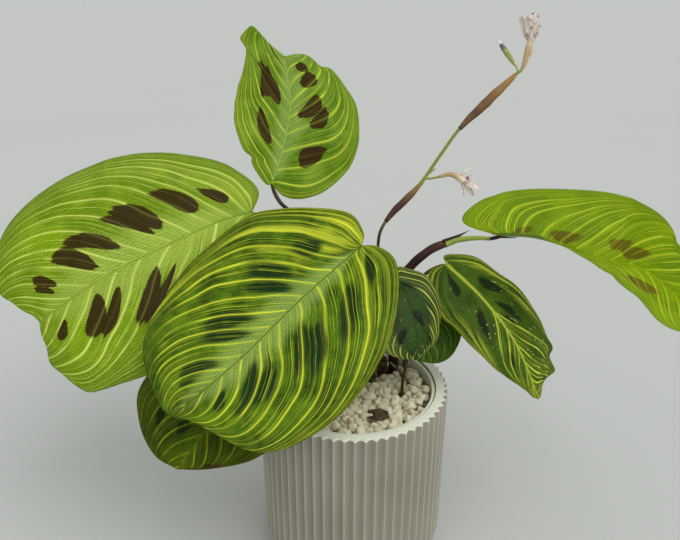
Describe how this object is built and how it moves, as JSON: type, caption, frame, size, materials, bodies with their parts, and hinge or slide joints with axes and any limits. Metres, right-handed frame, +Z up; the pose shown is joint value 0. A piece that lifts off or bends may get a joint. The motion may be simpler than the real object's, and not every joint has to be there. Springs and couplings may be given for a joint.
{
  "type": "potted light vein maranta",
  "caption": "Potted prayer plant: broad yellow-veined leaves and a flowering stem in pale granules, in a fluted cover pot with an inner liner.",
  "frame": {"origin": "centre of the pot's flat foot, on the surface it stands on", "axes": "+Z up along the pot's axis; +X to the right of the pictured view, towards the yellow-green arching leaf; -Y towards the viewer"},
  "size_m": [0.3711, 0.1631, 0.2994],
  "materials": {
    "pot": "satin",
    "liner": "satin",
    "granules": "matte",
    "dead_leaf": "matte",
    "leaf_front": "satin",
    "leaf_left": "satin",
    "leaf_under": "satin",
    "leaf_top": "satin",
    "leaf_right": "satin",
    "leaf_dark": "satin",
    "leaf_small": "satin",
    "leaf_hidden": "satin",
    "stalk": "satin",
    "sheath": "satin",
    "stalk_green": "satin",
    "flower_stem": "satin",
    "bract": "matte",
    "bud": "satin",
    "petal": "matte"
  },
  "bodies": {
    "root": {"pot": "pot", "liner": "liner", "substrate": "granules", "dead_flake": "dead_leaf", "blade_front": "leaf_front", "blade_left": "leaf_left", "blade_under": "leaf_under", "blade_top": "leaf_top", "blade_right": "leaf_right", "blade_dark": "leaf_dark", "blade_small": "leaf_small", "blade_hidden": "leaf_hidden", "stalk_front": "stalk", "stalk_left": "stalk", "stalk_under": "stalk", "stalk_top": "stalk", "stalk_dark": "stalk", "stalk_small": "stalk", "stalk_hidden": "stalk", "sheath_right": "sheath", "stalk_right": "stalk_green", "old_sheath_front": "dead_leaf", "old_sheath_under": "dead_leaf", "flower_stem": "flower_stem", "bract_lower": "bract", "bract_upper": "bract", "bud": "bud", "flower_top": "petal", "flower_side": "petal"}
  },
  "joints": []
}
